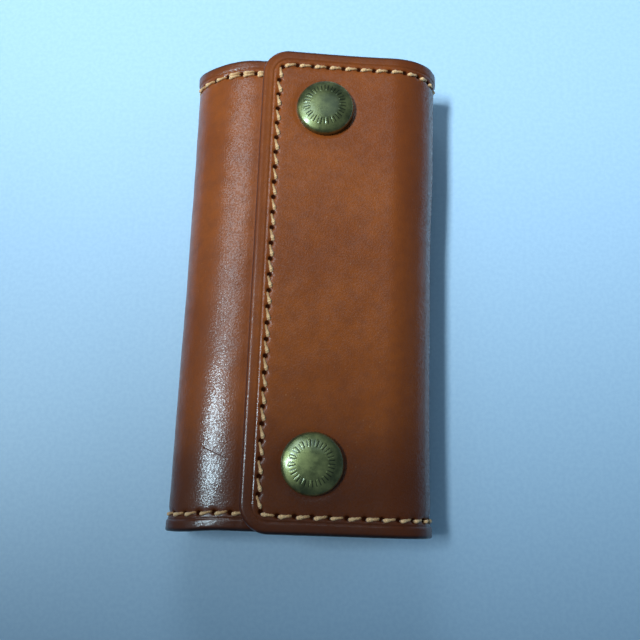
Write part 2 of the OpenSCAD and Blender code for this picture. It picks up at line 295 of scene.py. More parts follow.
def sheet_frame(s):
    """Points of the cover's outer face and its outward normals, in X and Z, at positions s."""
    s = np.asarray(s, float)
    x, z = np.interp(s, WAY, SECTION_X), np.interp(s, WAY, SECTION_Z)
    nx, nz = -np.interp(s, WAY, TANGENT_Z), np.interp(s, WAY, TANGENT_X)
    size = np.hypot(nx, nz)
    return x, z, nx / size, nz / size


def in_space(s, v, height):
    """Points at a height above the cover's outer face, which is negative inside the leather.

    The left-hand fold has slipped a little along the case, the front flap is a little longer, and
    the right-hand fold is wider at its upper end.
    """
    s, v = np.asarray(s, float), np.asarray(v, float)
    x, z, nx, nz = sheet_frame(s)
    # Each change comes in smoothly: from X = -18 to -31, over 25 mm of the sheet before the
    # back, and from v = 5 to 35 and X = 18 to 30.
    slip = -LEFT_SLIP * ease((-18 - x) / 13)
    stretch = 1 + FRONT_STRETCH * ease((S_BACK - s) / 25)
    wider = RIGHT_WIDER * ease((v - 5) / 30) * ease((x - 18) / 12)
    return np.stack([x + nx * height + wider, v * stretch + slip, z + nz * height], -1)


def edge_distance(s, v):
    """Distance from the sheet's cut edge, which has rounded corners."""
    from_end = np.minimum(s, SHEET_L - s)
    q_s, q_v = CORNER_R - from_end, np.abs(v) - (HALF_L - CORNER_R)
    in_corner = (q_s > 0) & (q_v > 0)
    return np.where(in_corner, CORNER_R - np.hypot(q_s, q_v), np.minimum(from_end, HALF_L - np.abs(v)))


def undulation(s, v, seed, wavelength):
    """Smooth unevenness between about -1 and 1: a sum of waves with fixed random directions."""
    waves = 7
    rng = np.random.default_rng(seed)
    total = np.zeros(np.broadcast(s, v).shape)
    for _ in range(waves):
        angle, phase = rng.uniform(0, 2 * math.pi, 2)
        k = 2 * math.pi / (wavelength * rng.uniform(0.7, 1.6))
        total = total + np.sin(k * (np.cos(angle) * s + np.sin(angle) * v) + phase)
    return total / (waves / 2)


# ------------------------------------------------------------------ the seam

STRAIGHT_V = HALF_L - CORNER_R
SEAM_ARC = math.pi / 2 * SEAM_R


def seam_parts():
    """The closed seam as straight runs and corner bends: (length, function of the way along it)."""
    top, bottom = HALF_L - SEAM_D, SEAM_D - HALF_L
    left, right = SEAM_D, SHEET_L - SEAM_D
    run = SHEET_L - 2 * CORNER_R

    def line(s0, v0, ds, dv):
        return lambda a: (s0 + ds * a, v0 + dv * a, ds, dv)

    def turn(s0, v0, start):
        def at(a):
            angle = start - a / SEAM_R
            return (s0 + SEAM_R * math.cos(angle), v0 + SEAM_R * math.sin(angle),
                    math.sin(angle), -math.cos(angle))
        return at

    return [
        (STRAIGHT_V, line(left, 0, 0, 1)),
        (SEAM_ARC, turn(CORNER_R, STRAIGHT_V, math.pi)),
        (run, line(CORNER_R, top, 1, 0)),
        (SEAM_ARC, turn(SHEET_L - CORNER_R, STRAIGHT_V, math.pi / 2)),
        (2 * STRAIGHT_V, line(right, STRAIGHT_V, 0, -1)),
        (SEAM_ARC, turn(SHEET_L - CORNER_R, -STRAIGHT_V, 0)),
        (run, line(SHEET_L - CORNER_R, bottom, -1, 0)),
        (SEAM_ARC, turn(CORNER_R, -STRAIGHT_V, -math.pi / 2)),
        (STRAIGHT_V, line(left, -STRAIGHT_V, 0, 1)),
    ]


SEAM = seam_parts()
SEAM_L = sum(length for length, _ in SEAM)
HOLE_COUNT = 2 * round(SEAM_L / STITCH_PITCH / 2)
PITCH = SEAM_L / HOLE_COUNT


def seam_point(a):
    """(s, v, ds, dv) at a distance a along the closed seam."""
    a = a % SEAM_L
    for length, at in SEAM:
        if a <= length:
            return at(a)
        a -= length
    # Rounding can leave a little over, past the last part.
    length, at = SEAM[-1]
    return at(length)


HOLES = np.array([seam_point(k * PITCH)[:2] for k in range(HOLE_COUNT)])


# ------------------------------------------------------------------ mesh lines

# Distances from the cut edge, close together where the leather is creased or sewn.
EDGE_RINGS = [0, 0.04, 0.14, 0.3, 0.5, 0.75, 1.05, 1.5, 2.0, 2.35, 2.6, 2.75, 2.9, 3.05, 3.2, 3.4, 3.6,
              3.8, 3.97, 4.14, 4.3, 4.46, 4.63, 4.85, 5.2, 5.8, RING_D]
# Distances from a needle hole, at the hole and on the way to the next one.
HOLE_STEPS = [-0.72, -0.42, -0.2, 0, 0.2, 0.42, 0.72]
BETWEEN_STEPS = [1.35, 2.06, 2.77]
SIDE_GAP, END_GAP = 0.18, 0.3  # least distance between mesh lines
CORNER_STEPS = 16
NEAR_SPLIT = 0.05  # a mesh line lies this close to each place where the sheet is split


def lines_with_holes(lowest, highest, hole_places, gap):
    """Mesh lines between two places, close together at the holes, at least a gap apart."""
    wanted = {lowest, highest}
    for h in hole_places:
        wanted.update(h + d for d in HOLE_STEPS + BETWEEN_STEPS)
    lines = [lowest]
    for w in sorted(wanted):
        if w - lines[-1] >= gap and highest - w >= gap:
            lines.append(w)
    return np.array(lines + [highest])


SIDE_HOLES_V = sorted({round(v, 4) for s, v in HOLES if abs(s - SEAM_D) < 0.01})
END_HOLES_S = sorted({round(s, 4) for s, v in HOLES if v > 0 and abs(v - HALF_L + SEAM_D) < 0.01})
SIDE_V = lines_with_holes(-STRAIGHT_V, STRAIGHT_V, SIDE_HOLES_V, SIDE_GAP)


def band_lines_v():
    """Mesh lines along the case: the rings at both ends and the plain grid's rows between them."""
    ends = np.array(EDGE_RINGS[:-1])
    half = np.linspace(0, math.pi / 4, CORNER_STEPS // 2 + 1)[1:]
    bend = STRAIGHT_V + (CORNER_R - RING_D) * np.sin(half)
    rows = np.concatenate([-bend[::-1], SIDE_V, bend])
    rows = rows / rows[-1] * (HALF_L - RING_D)
    return np.concatenate([ends - HALF_L, rows, (HALF_L - ends)[::-1]])


BAND_V = band_lines_v()


def band_grid(s_from, s_to):
    """A grid over a band of the sheet that has cut edges at both ends only."""
    holes = [h for h in END_HOLES_S if s_from < h < s_to]
    lines = lines_with_holes(s_from + NEAR_SPLIT, s_to - NEAR_SPLIT, holes, END_GAP)
    lines = np.concatenate([[s_from], lines, [s_to]])
    s, v = np.meshgrid(lines, BAND_V, indexing="ij")
    rows, columns = s.shape
    index = np.arange(rows * columns).reshape(rows, columns)
    quads = np.stack([index[:-1, :-1], index[1:, :-1], index[1:, 1:], index[:-1, 1:]], -1)
    return s.ravel(), v.ravel(), quads.reshape(-1, 4)


def ring_line(inset, run_u):
    """One line round a flap at a distance from its edge: (distance from the free edge, v)."""
    r = CORNER_R - inset
    side = HALF_L - inset
    bend = np.linspace(0, math.pi / 2, CORNER_STEPS + 1)[1:-1]
    corner_u = CORNER_R - r * np.sin(bend)
    corner_v = STRAIGHT_V + r * np.cos(bend)
    u = np.concatenate([run_u[::-1], corner_u, np.full(len(SIDE_V), inset), corner_u[::-1], run_u])
    v = np.concatenate([np.full(len(run_u), -side), -corner_v, SIDE_V, corner_v[::-1],
                        np.full(len(run_u), side)])
    return u, v


def coons_patch(bottom, top, left, right):
    """A grid of points that fills four lines; it runs from right to left and from bottom to top."""
    p = np.linspace(0, 1, len(bottom))[:, None, None]
    q = np.linspace(0, 1, len(left))[None, :, None]
    return ((1 - q) * bottom[:, None] + q * top[:, None] + (1 - p) * right[None] + p * left[None]
            - (1 - p) * (1 - q) * bottom[0] - (1 - p) * q * top[0]
            - p * (1 - q) * bottom[-1] - p * q * top[-1])


def flap_grid(length, hole_u):
    """Rings round a flap's three free edges, and a plain grid inside them."""
    holes = [h for h in hole_u if CORNER_R < h < length]
    run_u = lines_with_holes(CORNER_R, length - NEAR_SPLIT, holes, END_GAP)
    run_u = np.concatenate([run_u, [length]])
    points = [np.stack(ring_line(d, run_u), -1) for d in EDGE_RINGS]
    ring_count, per_ring = len(points), len(points[0])
    quads = []
    for k in range(ring_count - 1):
        a = k * per_ring + np.arange(per_ring - 1)
        quads.append(np.stack([a, a + 1, a + 1 + per_ring, a + per_ring], -1))
    # The plain grid lies between the innermost ring and the fold's line.
    across = len(run_u) - 1 + CORNER_STEPS // 2
    along = per_ring - 1 - 2 * across
    loop = points[-1]
    left = loop[across:across + along + 1]
    right = np.stack([np.full(along + 1, length), left[:, 1] / left[-1, 1] * loop[-1, 1]], -1)
    patch = coons_patch(loop[:across + 1], loop[::-1][:across + 1], left, right)
    # Three sides of it are points of the ring; the others are new.
    first = (ring_count - 1) * per_ring
    index = -np.ones((across + 1, along + 1), int)
    index[:, 0] = first + np.arange(across + 1)
    index[-1, :] = first + across + np.arange(along + 1)
    index[:, -1] = first + per_ring - 1 - np.arange(across + 1)
    free = index < 0
    index[free] = ring_count * per_ring + np.arange(free.sum())
    points.append(patch[free])
    inner = np.stack([index[:-1, :-1], index[:-1, 1:], index[1:, 1:], index[1:, :-1]], -1)
    quads.append(inner.reshape(-1, 4))
    points = np.concatenate(points)
    return points[:, 0], points[:, 1], np.concatenate(quads)


# ------------------------------------------------------------------ relief of the leather

# The marks in the leather: how deep and how wide each one is.
CREASE = (0.22, 0.22)
COVER_GROOVE, LINING_GROOVE = (0.12, 0.75), (0.15, 0.5)
COVER_PIT, LINING_PIT = (0.55, 0.62), (0.4, 0.4)
PINCH = (0.25, 0.9)  # along the seam on the folds
CAP_DENT = (0.18, 0.9)
FLAP_DENT = (0.14, 0.5)


def smooth_line(distance, width):
    """1 on a line, falling smoothly to 0 at a distance of about its width."""
    return np.exp(-(distance / width) ** 2)


def dent(distance, depth, width):
    """How deep a mark is at a distance from its middle."""
    return depth * smooth_line(distance, width)


def rounding(d, radius):
    """How far a rounded edge of that radius falls below the face, at a distance d from the edge."""
    x = np.clip(radius - d, 0, radius)
    return radius - np.sqrt(np.maximum(radius * radius - x * x, 0))


def hole_distance(s, v):
    """Distance of each point to the nearest stitch hole; far from the seam it is only large."""
    out = np.full(len(s), 9.0)
    near = np.flatnonzero(np.abs(edge_distance(s, v) - SEAM_D) < 1.2)
    for part in np.array_split(near, max(1, len(near) // 4000)):
        ds = s[part, None] - HOLES[None, :, 0]
        dv = v[part, None] - HOLES[None, :, 1]
        out[part] = np.sqrt(ds * ds + dv * dv).min(1)
    return out


def cover_relief(s, v):
    """Height of the cover's outer face against the plain sheet, and how dark its pits are."""
    d = edge_distance(s, v)
    depth, width = COVER_PIT
    pit = smooth_line(hole_distance(s, v), width)
    _, _, nx, nz = sheet_frame(s)
    # The cut edge is rounder where the sheet lies flat than on the folds.
    height = -rounding(d, 0.5 + 0.6 * nz ** 2)
    height -= dent(d - CREASE_D, *CREASE)
    height -= dent(d - SEAM_D, *COVER_GROOVE)
    height -= depth * pit
    # On the folds the seam pulls the leather in, so the border outside it flares.
    height += nx ** 2 * (0.45 * ease((SEAM_D - d) / 2.2) - dent(d - SEAM_D, *PINCH))
    height += nx ** 2 * 0.35 * ((v / HALF_L) ** 2 - 0.4)
    height += 0.10 * undulation(s, v, 11, 34) * np.clip(d / 6, 0, 1)
    height += 0.035 * undulation(s, v, 5, 9) * np.clip(d / 3, 0.2, 1)
    for centre_v in SNAP_Y.values():
        r = np.hypot(s - (SNAP_X - FRONT_EDGE_X), v - centre_v)
        height -= dent(np.maximum(r - CAP_R, 0), *CAP_DENT)
    # The front flap's free edge has pressed a line into the inner flap.
    from_edge = (s - S_INNER) - (FRONT_EDGE_X - LEFT_X)
    height -= dent(from_edge + 0.7, *FLAP_DENT) * (s > S_INNER)
    return height, pit


def lining_relief(s, v):
    """Height of the lining's inner face against the plain sheet, and how dark its pits are."""
    d = edge_distance(s, v)
    depth, width = LINING_PIT
    pit = smooth_line(hole_distance(s, v), width)
    height = -rounding(d, 0.8) - dent(d - SEAM_D, *LINING_GROOVE) - depth * pit
    return height + 0.03 * undulation(s, v, 23, 11) * np.clip(d / 3, 0, 1), pit


# ------------------------------------------------------------------ making meshes

def new_mesh(name, points, faces, material, smooth=True):
    """A mesh object from points in millimetres."""
    mesh = bpy.data.meshes.new(name)
    if not isinstance(faces, list):
        faces = faces.tolist()
    mesh.from_pydata((np.asarray(points) * MM).tolist(), [], faces)
    mesh.update()
    if smooth:
        mesh.shade_smooth()
    mesh.materials.append(material)
    obj = bpy.data.objects.new(name, mesh)
    scene.collection.objects.link(obj)
    return obj


def put_attribute(obj, name, values):
    """Stores a number or a vector for each vertex, for the materials to read."""
    values = np.asarray(values, np.float32)
    kind, key = ("FLOAT", "value") if values.ndim == 1 else ("FLOAT_VECTOR", "vector")
    attribute = obj.data.attributes.new(name, kind, "POINT")
    attribute.data.foreach_set(key, values.ravel())


def face_outwards(quads, points, s):
    """The same faces, each looking away from the case's inside."""
    a, b, c = (points[quads[:, k]] for k in (0, 1, 2))
    facing = np.cross(b - a, c - b)
    _, _, nx, nz = sheet_frame(s[quads].mean(1))
    inwards = facing[:, 0] * nx + facing[:, 2] * nz < 0
    return np.where(inwards[:, None], quads[:, ::-1], quads)


def rim_of(quads, n):
    """The border of a grid of n points: the edges that belong to one face only."""
    edges = np.concatenate([quads[:, [0, 1]], quads[:, [1, 2]], quads[:, [2, 3]], quads[:, [3, 0]]])
    key = np.sort(edges, 1)
    _, first, count = np.unique(key[:, 0] * n + key[:, 1], return_index=True, return_counts=True)
    return edges[first[count == 1]]


def sharpen(obj, sharp):
    """Makes the edges in a set of vertex pairs sharp; each pair has its lower number first."""
    ends = np.zeros(2 * len(obj.data.edges), np.int32)
    obj.data.edges.foreach_get("vertices", ends)
    ends = np.sort(ends.reshape(-1, 2), 1)
    flags = np.fromiter(((int(i), int(j)) in sharp for i, j in ends), bool, len(ends))
    obj.data.attributes.new("sharp_edge", "BOOLEAN", "EDGE").data.foreach_set("value", flags)


def leather_piece(name, grid, splits, material, is_cover):
    """A closed layer of leather over a grid of the sheet: the cover, or the lining below it."""
    s, v, quads = grid
    n = len(s)
    if is_cover:
        relief, pit = cover_relief(s, v)
        near, far = relief, np.full(n, -COVER_T)
    else:
        relief, pit = lining_relief(s, v)
        near, far = np.full(n, -COVER_T - GLUE_GAP), -WALL - relief
    points = np.concatenate([in_space(s, v, near), in_space(s, v, far)])
    quads = face_outwards(quads, points, s)
    rim = rim_of(quads, n)
    walls = np.stack([rim[:, 1], rim[:, 0], rim[:, 0] + n, rim[:, 1] + n], -1)
    obj = new_mesh(name, points, np.concatenate([quads, quads[:, ::-1] + n, walls]), material)
    # Sharp are the glued face's whole rim, and both faces' rims along the splits.
    on_split = np.any([np.abs(s - place) < 1e-6 for place in splits], axis=0)
    glued = n if is_cover else 0
    sharp = {tuple(sorted((int(i) + glued, int(j) + glued))) for i, j in rim}
    for i, j in rim:
        if on_split[i] and on_split[j]:
            sharp.add(tuple(sorted((int(i), int(j)))))
            sharp.add(tuple(sorted((int(i) + n, int(j) + n))))
    sharpen(obj, sharp)
    put_attribute(obj, "sheet", np.stack([np.tile(s, 2), np.tile(v, 2), np.repeat([0.0, 1.0], n)], -1))
    put_attribute(obj, "inset", np.tile(edge_distance(s, v), 2))
    put_attribute(obj, "pit", np.tile(pit, 2))
    return obj


THREAD_SIDES, THREAD_RINGS = 12, 17
STITCH_START, STITCH_L = 0.20, 0.66  # as shares of the distance between two holes
SIDE_LEAN, END_LEAN = 0.40, 0.24  # how far a stitch leans across the seam, either way
SEWN_TWICE = (-0.35, 0.40)  # where two stitches side by side lie across the seam
THREAD_R, BULB_R = 0.33, 0.19  # half the thread's width, and what its thick end adds
THREAD_SUNK, BULB_RISE = 0.60, 0.16  # how far the ends dip, and the thick end stands up


def stitch_line(k, jitter, shift):
    """A stitch's middle line on the sheet, from its thick end to its thin one: t, s and v."""
    t = np.linspace(0, 1, THREAD_RINGS)
    middle = seam_point((k + 0.5) * PITCH)
    on_side = abs(middle[3]) > 0.5
    on_low_end = not on_side and middle[1] < 0
    way = (k + STITCH_START + STITCH_L * (1 - t if on_low_end else t) + 0.02 * jitter[0]) * PITCH
    ends = np.array([seam_point(way[0]), seam_point(way[-1])])
    place = ends[:1] + (ends[1:] - ends[:1]) * t[:, None]
    lean = 0.10 + ((SIDE_LEAN if on_side else END_LEAN) + 0.05 * jitter[1]) * (1 - 2 * t)
    lean = (-lean if on_low_end else lean) + shift
    return t, place[:, 0] + lean * place[:, 3], place[:, 1] - lean * place[:, 2]


def stitch(k, outside, jitter, shift):
    """One stitch as a tube of points, and for each point the way along it, its angle and k."""
    t, s, v = stitch_line(k, jitter, shift)
    bulb = np.exp(-((t - 0.20) / 0.20) ** 2)
    rise = np.clip(t / 0.10, 0, 1) * np.clip((1 - t) / 0.25, 0, 1)
    height = -THREAD_SUNK + THREAD_SUNK * np.sqrt(rise) + BULB_RISE * bulb
    radius = (THREAD_R + BULB_R * bulb) * (1 + 0.06 * jitter[2])
    line = in_space(s, v, height if outside else -WALL - height)
    along = np.gradient(line, axis=0)
    along /= np.linalg.norm(along, axis=1)[:, None]
    _, _, nx, nz = sheet_frame(s)
    side = np.cross(along, np.stack([nx, 0 * nx, nz], -1))
    side /= np.linalg.norm(side, axis=1)[:, None]
    up = np.cross(side, along)
    # Two plies are laid round each other, so the section has two lobes that turn.
    around = np.linspace(0, 2 * math.pi, THREAD_SIDES, endpoint=False)
    lobes = 0.84 + 0.16 * np.abs(np.cos(around[None, :] - 9.5 * t[:, None] - jitter[3]))
    r = (radius[:, None] * lobes)[..., None]
    tube = line[:, None] + r * (np.cos(around)[None, :, None] * side[:, None]
                                + np.sin(around)[None, :, None] * up[:, None])
    kinds = np.stack([np.repeat(t, THREAD_SIDES), np.tile(around, THREAD_RINGS),
                      np.full(THREAD_RINGS * THREAD_SIDES, k)], -1)
    return tube.reshape(-1, 3), kinds


def thread_piece(name, s_from, s_to, material):
    """All stitches whose middle lies in a band of the sheet, outside and inside the case."""
    jitter = np.random.default_rng(7).normal(0, 1, (HOLE_COUNT, 4))
    points, faces, kinds = [], [], []
    for k in range(HOLE_COUNT):
        s, v, _, _ = seam_point((k + 0.5) * PITCH)
        if not s_from <= s < s_to:
            continue
        # At the upper end, next to the front flap's free edge, the seam is sewn twice.
        twice = v > 0 and S_INNER - 2 < s < S_INNER + 10
        outer_shifts = SEWN_TWICE if twice else (0.0,)
        for outside, shift in [(True, shift) for shift in outer_shifts] + [(False, 0.0)]:
            tube, kind = stitch(k, outside, jitter[k], shift)
            base = len(points) * len(tube)
            index = base + np.arange(len(tube)).reshape(THREAD_RINGS, THREAD_SIDES)
            nxt = np.roll(index, -1, axis=1)
            quads = np.stack([index[:-1], nxt[:-1], nxt[1:], index[1:]], -1)
            faces += quads.reshape(-1, 4).tolist()
            faces += [index[0][::-1].tolist(), index[-1].tolist()]
            points.append(tube)
            kinds.append(kind)
    obj = new_mesh(name, np.concatenate(points), faces, material)
    put_attribute(obj, "ply", np.concatenate(kinds))
    return obj


# ------------------------------------------------------------------ materials

class Nodes:
    """A small helper that builds a material's node tree."""

    def __init__(self, name):
        self.material = bpy.data.materials.new(name)
        self.material.use_nodes = True
        self.tree = self.material.node_tree
        self.shader = self.tree.nodes["Principled BSDF"]

    def add(self, kind, inputs=None, **settings):
        node = self.tree.nodes.new(kind)
        for key, value in settings.items():
            setattr(node, key, value)
        for key, value in (inputs or {}).items():
            self.put(node.inputs[key], value)
        return node

    def put(self, socket, value):
        if isinstance(value, bpy.types.NodeSocket):
            self.tree.links.new(value, socket)
        else:
            socket.default_value = value

    def attribute(self, name, output="Fac"):
        return self.add("ShaderNodeAttribute", attribute_name=name).outputs[output]

    def object_place(self):
        return self.add("ShaderNodeTexCoord").outputs["Object"]

    def noise(self, vector, scale, detail=3.0, roughness=0.5):
        return self.add("ShaderNodeTexNoise", {"Vector": vector, "Scale": scale, "Detail": detail,
                                               "Roughness": roughness}).outputs["Fac"]

    def cells(self, vector, scale):
        node = self.add("ShaderNodeTexVoronoi", {"Vector": vector, "Scale": scale}, feature="F1")
        return node.outputs["Distance"]

    def vector_math(self, operation, a, b, output="Vector"):
        return self.add("ShaderNodeVectorMath", {0: a, 1: b}, operation=operation).outputs[output]

    def math(self, operation, a, b=0.0, c=0.0):
        node = self.add("ShaderNodeMath", operation=operation)
        for socket, value in zip(node.inputs, (a, b, c)):
            self.put(socket, value)
        return node.outputs[0]

    def between(self, value, low, high, to_low=0.0, to_high=1.0):
        return self.add("ShaderNodeMapRange", {"Value": value, "From Min": low, "From Max": high,
                                               "To Min": to_low, "To Max": to_high},
                        interpolation_type="SMOOTHSTEP").outputs["Result"]

    def mix(self, factor, a, b):
        node = self.add("ShaderNodeMix", data_type="RGBA", blend_type="MIX")
        self.put(node.inputs["Factor"], factor)
        for socket, value in ((node.inputs[6], a), (node.inputs[7], b)):
            self.put(socket, value if isinstance(value, bpy.types.NodeSocket) else (*value, 1.0))
        return node.outputs[2]

    def tinted(self, color, *layers):
        """A colour with others laid over it in turn; each layer is a mask and its colour."""
        for mask, tint in layers:
            color = self.mix(mask, color, tint)
        return color

    def stroke(self, at, start, end, width):
        """1 along a short straight mark between two places of the sheet, 0 away from it."""
        length = math.dist(start, end)
        along = ((end[0] - start[0]) / length, (end[1] - start[1]) / length, 0.0)
        middle = ((start[0] + end[0]) / 2, (start[1] + end[1]) / 2, 0.0)
        across = (-along[1], along[0], 0.0)
        offset = self.vector_math("SUBTRACT", at, middle)
        masks = []
        for axis, reach, soft in ((along, length / 2, 1.0), (across, width, width)):
            far = self.math("ABSOLUTE", self.vector_math("DOT_PRODUCT", offset, axis, "Value"))
            masks.append(self.between(far, reach, reach - soft))
        return self.math("MULTIPLY", *masks)

    def bump(self, height, distance, strength):
        node = self.add("ShaderNodeBump", {"Height": height, "Distance": distance, "Strength": strength})
        self.put(self.shader.inputs["Normal"], node.outputs["Normal"])
        self.put(self.shader.inputs["Coat Normal"], node.outputs["Normal"])

    def finish(self, color, roughness, **constants):
        self.put(self.shader.inputs["Base Color"], color)
        self.put(self.shader.inputs["Roughness"], roughness)
        for key, value in constants.items():
            self.shader.inputs[key.replace("_", " ")].default_value = value
        return self.material


def srgb(r, g, b):
    """A colour given as the eye reads it, 0 to 255, as linear light."""
    def linear(c):
        c /= 255
        return c / 12.92 if c <= 0.04045 else ((c + 0.055) / 1.055) ** 2.4
    return linear(r), linear(g), linear(b)


# Two marks of wear on the left-hand side: start and end on the sheet, and width.
SCRATCHES = [((S_INNER - 1.7, -42.2), (S_INNER + 5.4, -45.5), 0.20),
             ((S_INNER + 5.2, 5.6), (S_INNER + 6.0, 6.8), 0.20)]


def wax_coat(n, inset, pit, pebbles, v, from_end):
    """How much wax there is: it shines on the pebbles, not between them or in the needle holes.

    It has worn off along the flaps' free edges in the case's upper half.
    """
    low_border = n.math("MULTIPLY", n.between(inset, 0.15, 0.9), n.between(v, 14.0, -6.0))
    waxed = n.math("MAXIMUM", low_border, n.between(inset, 1.4, 2.4))
    waxed = n.math("MAXIMUM", waxed, n.between(from_end, 3.0, 1.0))
    waxed = n.math("MULTIPLY", waxed, n.between(pebbles, 0.30, 0.70, 1.0, 0.28))
    return n.math("MULTIPLY", waxed, n.between(pit, 0.02, 0.25, 0.75, 0.0))


def cover_leather():
    """Glossy waxed bridle leather: warm patches, a darker border, fine pebbled grain, with painted shade towards the
    case's lower end, over the right-hand fold and in the needle holes.
    """
    n = Nodes("cover_leather")
    at = n.attribute("sheet", "Vector")
    inset = n.attribute("inset")
    pit = n.attribute("pit")
    patches = n.noise(at, 0.035, 3.0, 0.55)
    mottle = n.noise(at, 0.35, 4.0, 0.6)
    fine = n.noise(at, 3.2, 3.0, 0.6)
    specks = n.noise(at, 1.9, 0.0)
    pebbles = n.cells(at, 2.2)
    s, v, _ = n.add("ShaderNodeSeparateXYZ", {"Vector": at}).outputs
    from_end = n.math("SUBTRACT", HALF_L, n.math("ABSOLUTE", v))
    from_fold = n.math("ABSOLUTE", n.math("SUBTRACT", s, (S_RIGHT + S_BACK) / 2))
    in_hole = n.between(pit, 0.15, 0.60)
    scratch = n.math("MAXIMUM", *(n.stroke(at, *mark) for mark in SCRATCHES))
    color = n.tinted(
        n.mix(n.between(patches, 0.35, 0.65), srgb(133, 68, 26), srgb(150, 79, 28)),
        (n.between(mottle, 0.30, 0.75, 0.0, 0.40), srgb(105, 54, 26)),
        (n.between(fine, 0.35, 0.8, 0.0, 0.20), srgb(86, 42, 20)),
        (n.between(specks, 0.80, 0.86, 0.0, 0.30), srgb(184, 146, 104)),
        # Darker outside the creased line and towards the case's ends.
        (n.between(inset, 0.5, 3.2, 0.30, 0.0), srgb(86, 40, 20)),
        # Painted shade, darker towards the case's lower end.
        (n.between(v, -26.0, -54.0, 0.0, 0.75), srgb(66, 30, 13)),
        (n.between(from_end, 5.0, 1.0, 0.0, 0.35), srgb(62, 28, 15)),
        # Painted shade over the right-hand fold, which turns away from the lamps.
        (n.between(from_fold, 22.0, 12.0, 0.0, 0.55), srgb(92, 42, 18)),
        # The cut edge is burnished, and darkest at both ends of the case.
        (n.between(inset, 0.0, 0.5, 0.7, 0.0), srgb(62, 22, 12)),
        (n.between(from_end, 1.1, 0.3), srgb(30, 16, 14)),
        # Painted shade in the needle holes.
        (in_hole, srgb(48, 20, 9)),
        (n.math("MULTIPLY", scratch, 0.5), srgb(40, 22, 16)),
    )
    grain = n.math("MULTIPLY_ADD", pebbles, -0.6, n.math("MULTIPLY", n.noise(at, 2.4, 2.0), 0.5))
    n.bump(n.math("MULTIPLY_ADD", scratch, -2.0, grain), 0.00010, 0.42)
    n.put(n.shader.inputs["Specular IOR Level"], n.math("MULTIPLY_ADD", in_hole, -0.22, 0.22))
    n.put(n.shader.inputs["Coat Weight"], wax_coat(n, inset, pit, pebbles, v, from_end))
    rough = n.between(mottle, 0.3, 0.7, 0.34, 0.44)
    return n.finish(color, rough, IOR=1.45, Coat_Roughness=0.19, Coat_IOR=1.6)


def lining_leather():
    """Matt natural lining leather, a little fibrous."""
    n = Nodes("lining_leather")
    at = n.attribute("sheet", "Vector")
    inset = n.attribute("inset")
    pit = n.attribute("pit")
    fibres = n.noise(n.vector_math("MULTIPLY", at, (1.0, 0.35, 1.0)), 2.2, 5.0, 0.65)
    patches = n.noise(at, 0.06, 3.0)
    color = n.mix(n.between(patches, 0.3, 0.7), srgb(166, 116, 74), srgb(184, 134, 90))
    color = n.tinted(
        color,
        (n.between(fibres, 0.35, 0.75, 0.0, 0.5), srgb(140, 92, 56)),
        (n.between(inset, 0.1, 1.6, 0.9, 0.0), srgb(52, 26, 17)),
        # Painted shade in the needle holes.
        (n.between(pit, 0.3, 0.9), srgb(40, 22, 14)),
    )
    n.bump(fibres, 0.00012, 0.35)
    return n.finish(color, n.between(fibres, 0.3, 0.7, 0.62, 0.8), Specular_IOR_Level=0.35)


def waxed_thread():
    """Waxed linen thread: pale tan, two plies, with painted shade where it dives into the leather and between its
    plies.
    """
    n = Nodes("waxed_thread")
    ply = n.attribute("ply", "Vector")
    way, around, _ = n.add("ShaderNodeSeparateXYZ", {"Vector": ply}).outputs
    twist = n.math("SINE", n.math("MULTIPLY_ADD", way, 60.0, around))
    fuzz = n.noise(n.object_place(), 6000.0, 3.0)
    color = n.mix(n.between(fuzz, 0.3, 0.7), srgb(228, 180, 124), srgb(252, 214, 158))
    color = n.tinted(
        color,
        # Painted shade where the stitch dips into its holes: over the thin end, and at the very start of the thick
        # end.
        (n.between(way, 0.25, 0.9, 0.0, 0.70), srgb(170, 118, 60)),
        (n.between(way, 0.05, 0.0), srgb(90, 56, 32)),
        # Painted shade in the groove between the two plies.
        (n.between(twist, 0.2, -0.9, 0.0, 0.35), srgb(120, 84, 48)),
    )
    n.bump(n.math("ADD", twist, fuzz), 0.00006, 0.6)
    return n.finish(color, 0.5, Specular_IOR_Level=0.4, Sheen_Weight=0.2)


def antique_brass():
    """Brass with a brown-green patina, paler where hands have worn it."""
    n = Nodes("antique_brass")
    place = n.object_place()
    clouds = n.noise(place, 260.0, 4.0, 0.6)
    specks = n.noise(place, 2600.0, 2.0)
    patina_and_shade = n.attribute("patina_and_shade")
    color = n.mix(n.between(clouds, 0.3, 0.7), srgb(88, 92, 54), srgb(146, 146, 90))
    color = n.tinted(
        color,
        (n.between(specks, 0.6, 0.78, 0.0, 0.5), srgb(60, 66, 40)),
        # Patina in the hollows round the caps' bars, and painted shade on the caps' lower side and foot.
        (n.between(patina_and_shade, 0.1, 0.9, 0.0, 0.80), srgb(24, 30, 14)),
    )
    n.bump(n.math("ADD", clouds, n.math("MULTIPLY", specks, 0.3)), 0.00008, 0.15)
    rough = n.between(clouds, 0.3, 0.7, 0.36, 0.46)
    return n.finish(color, rough, Metallic=0.85, Coat_Weight=1.0, Coat_Roughness=0.20)


def plain_metal(name, color_a, color_b, rough_low, rough_high):
    """A satin metal with faint clouds and fine scratches."""
    n = Nodes(name)
    place = n.object_place()
    clouds = n.noise(place, 900.0, 4.0, 0.6)
    scratches = n.noise(n.vector_math("MULTIPLY", place, (1.0, 0.06, 1.0)), 9000.0, 2.0, 0.7)
    color = n.mix(n.between(clouds, 0.3, 0.7), color_a, color_b)
    n.bump(n.math("ADD", scratches, clouds), 0.00003, 0.25)
    return n.finish(color, n.between(clouds, 0.3, 0.7, rough_low, rough_high), Metallic=1.0)


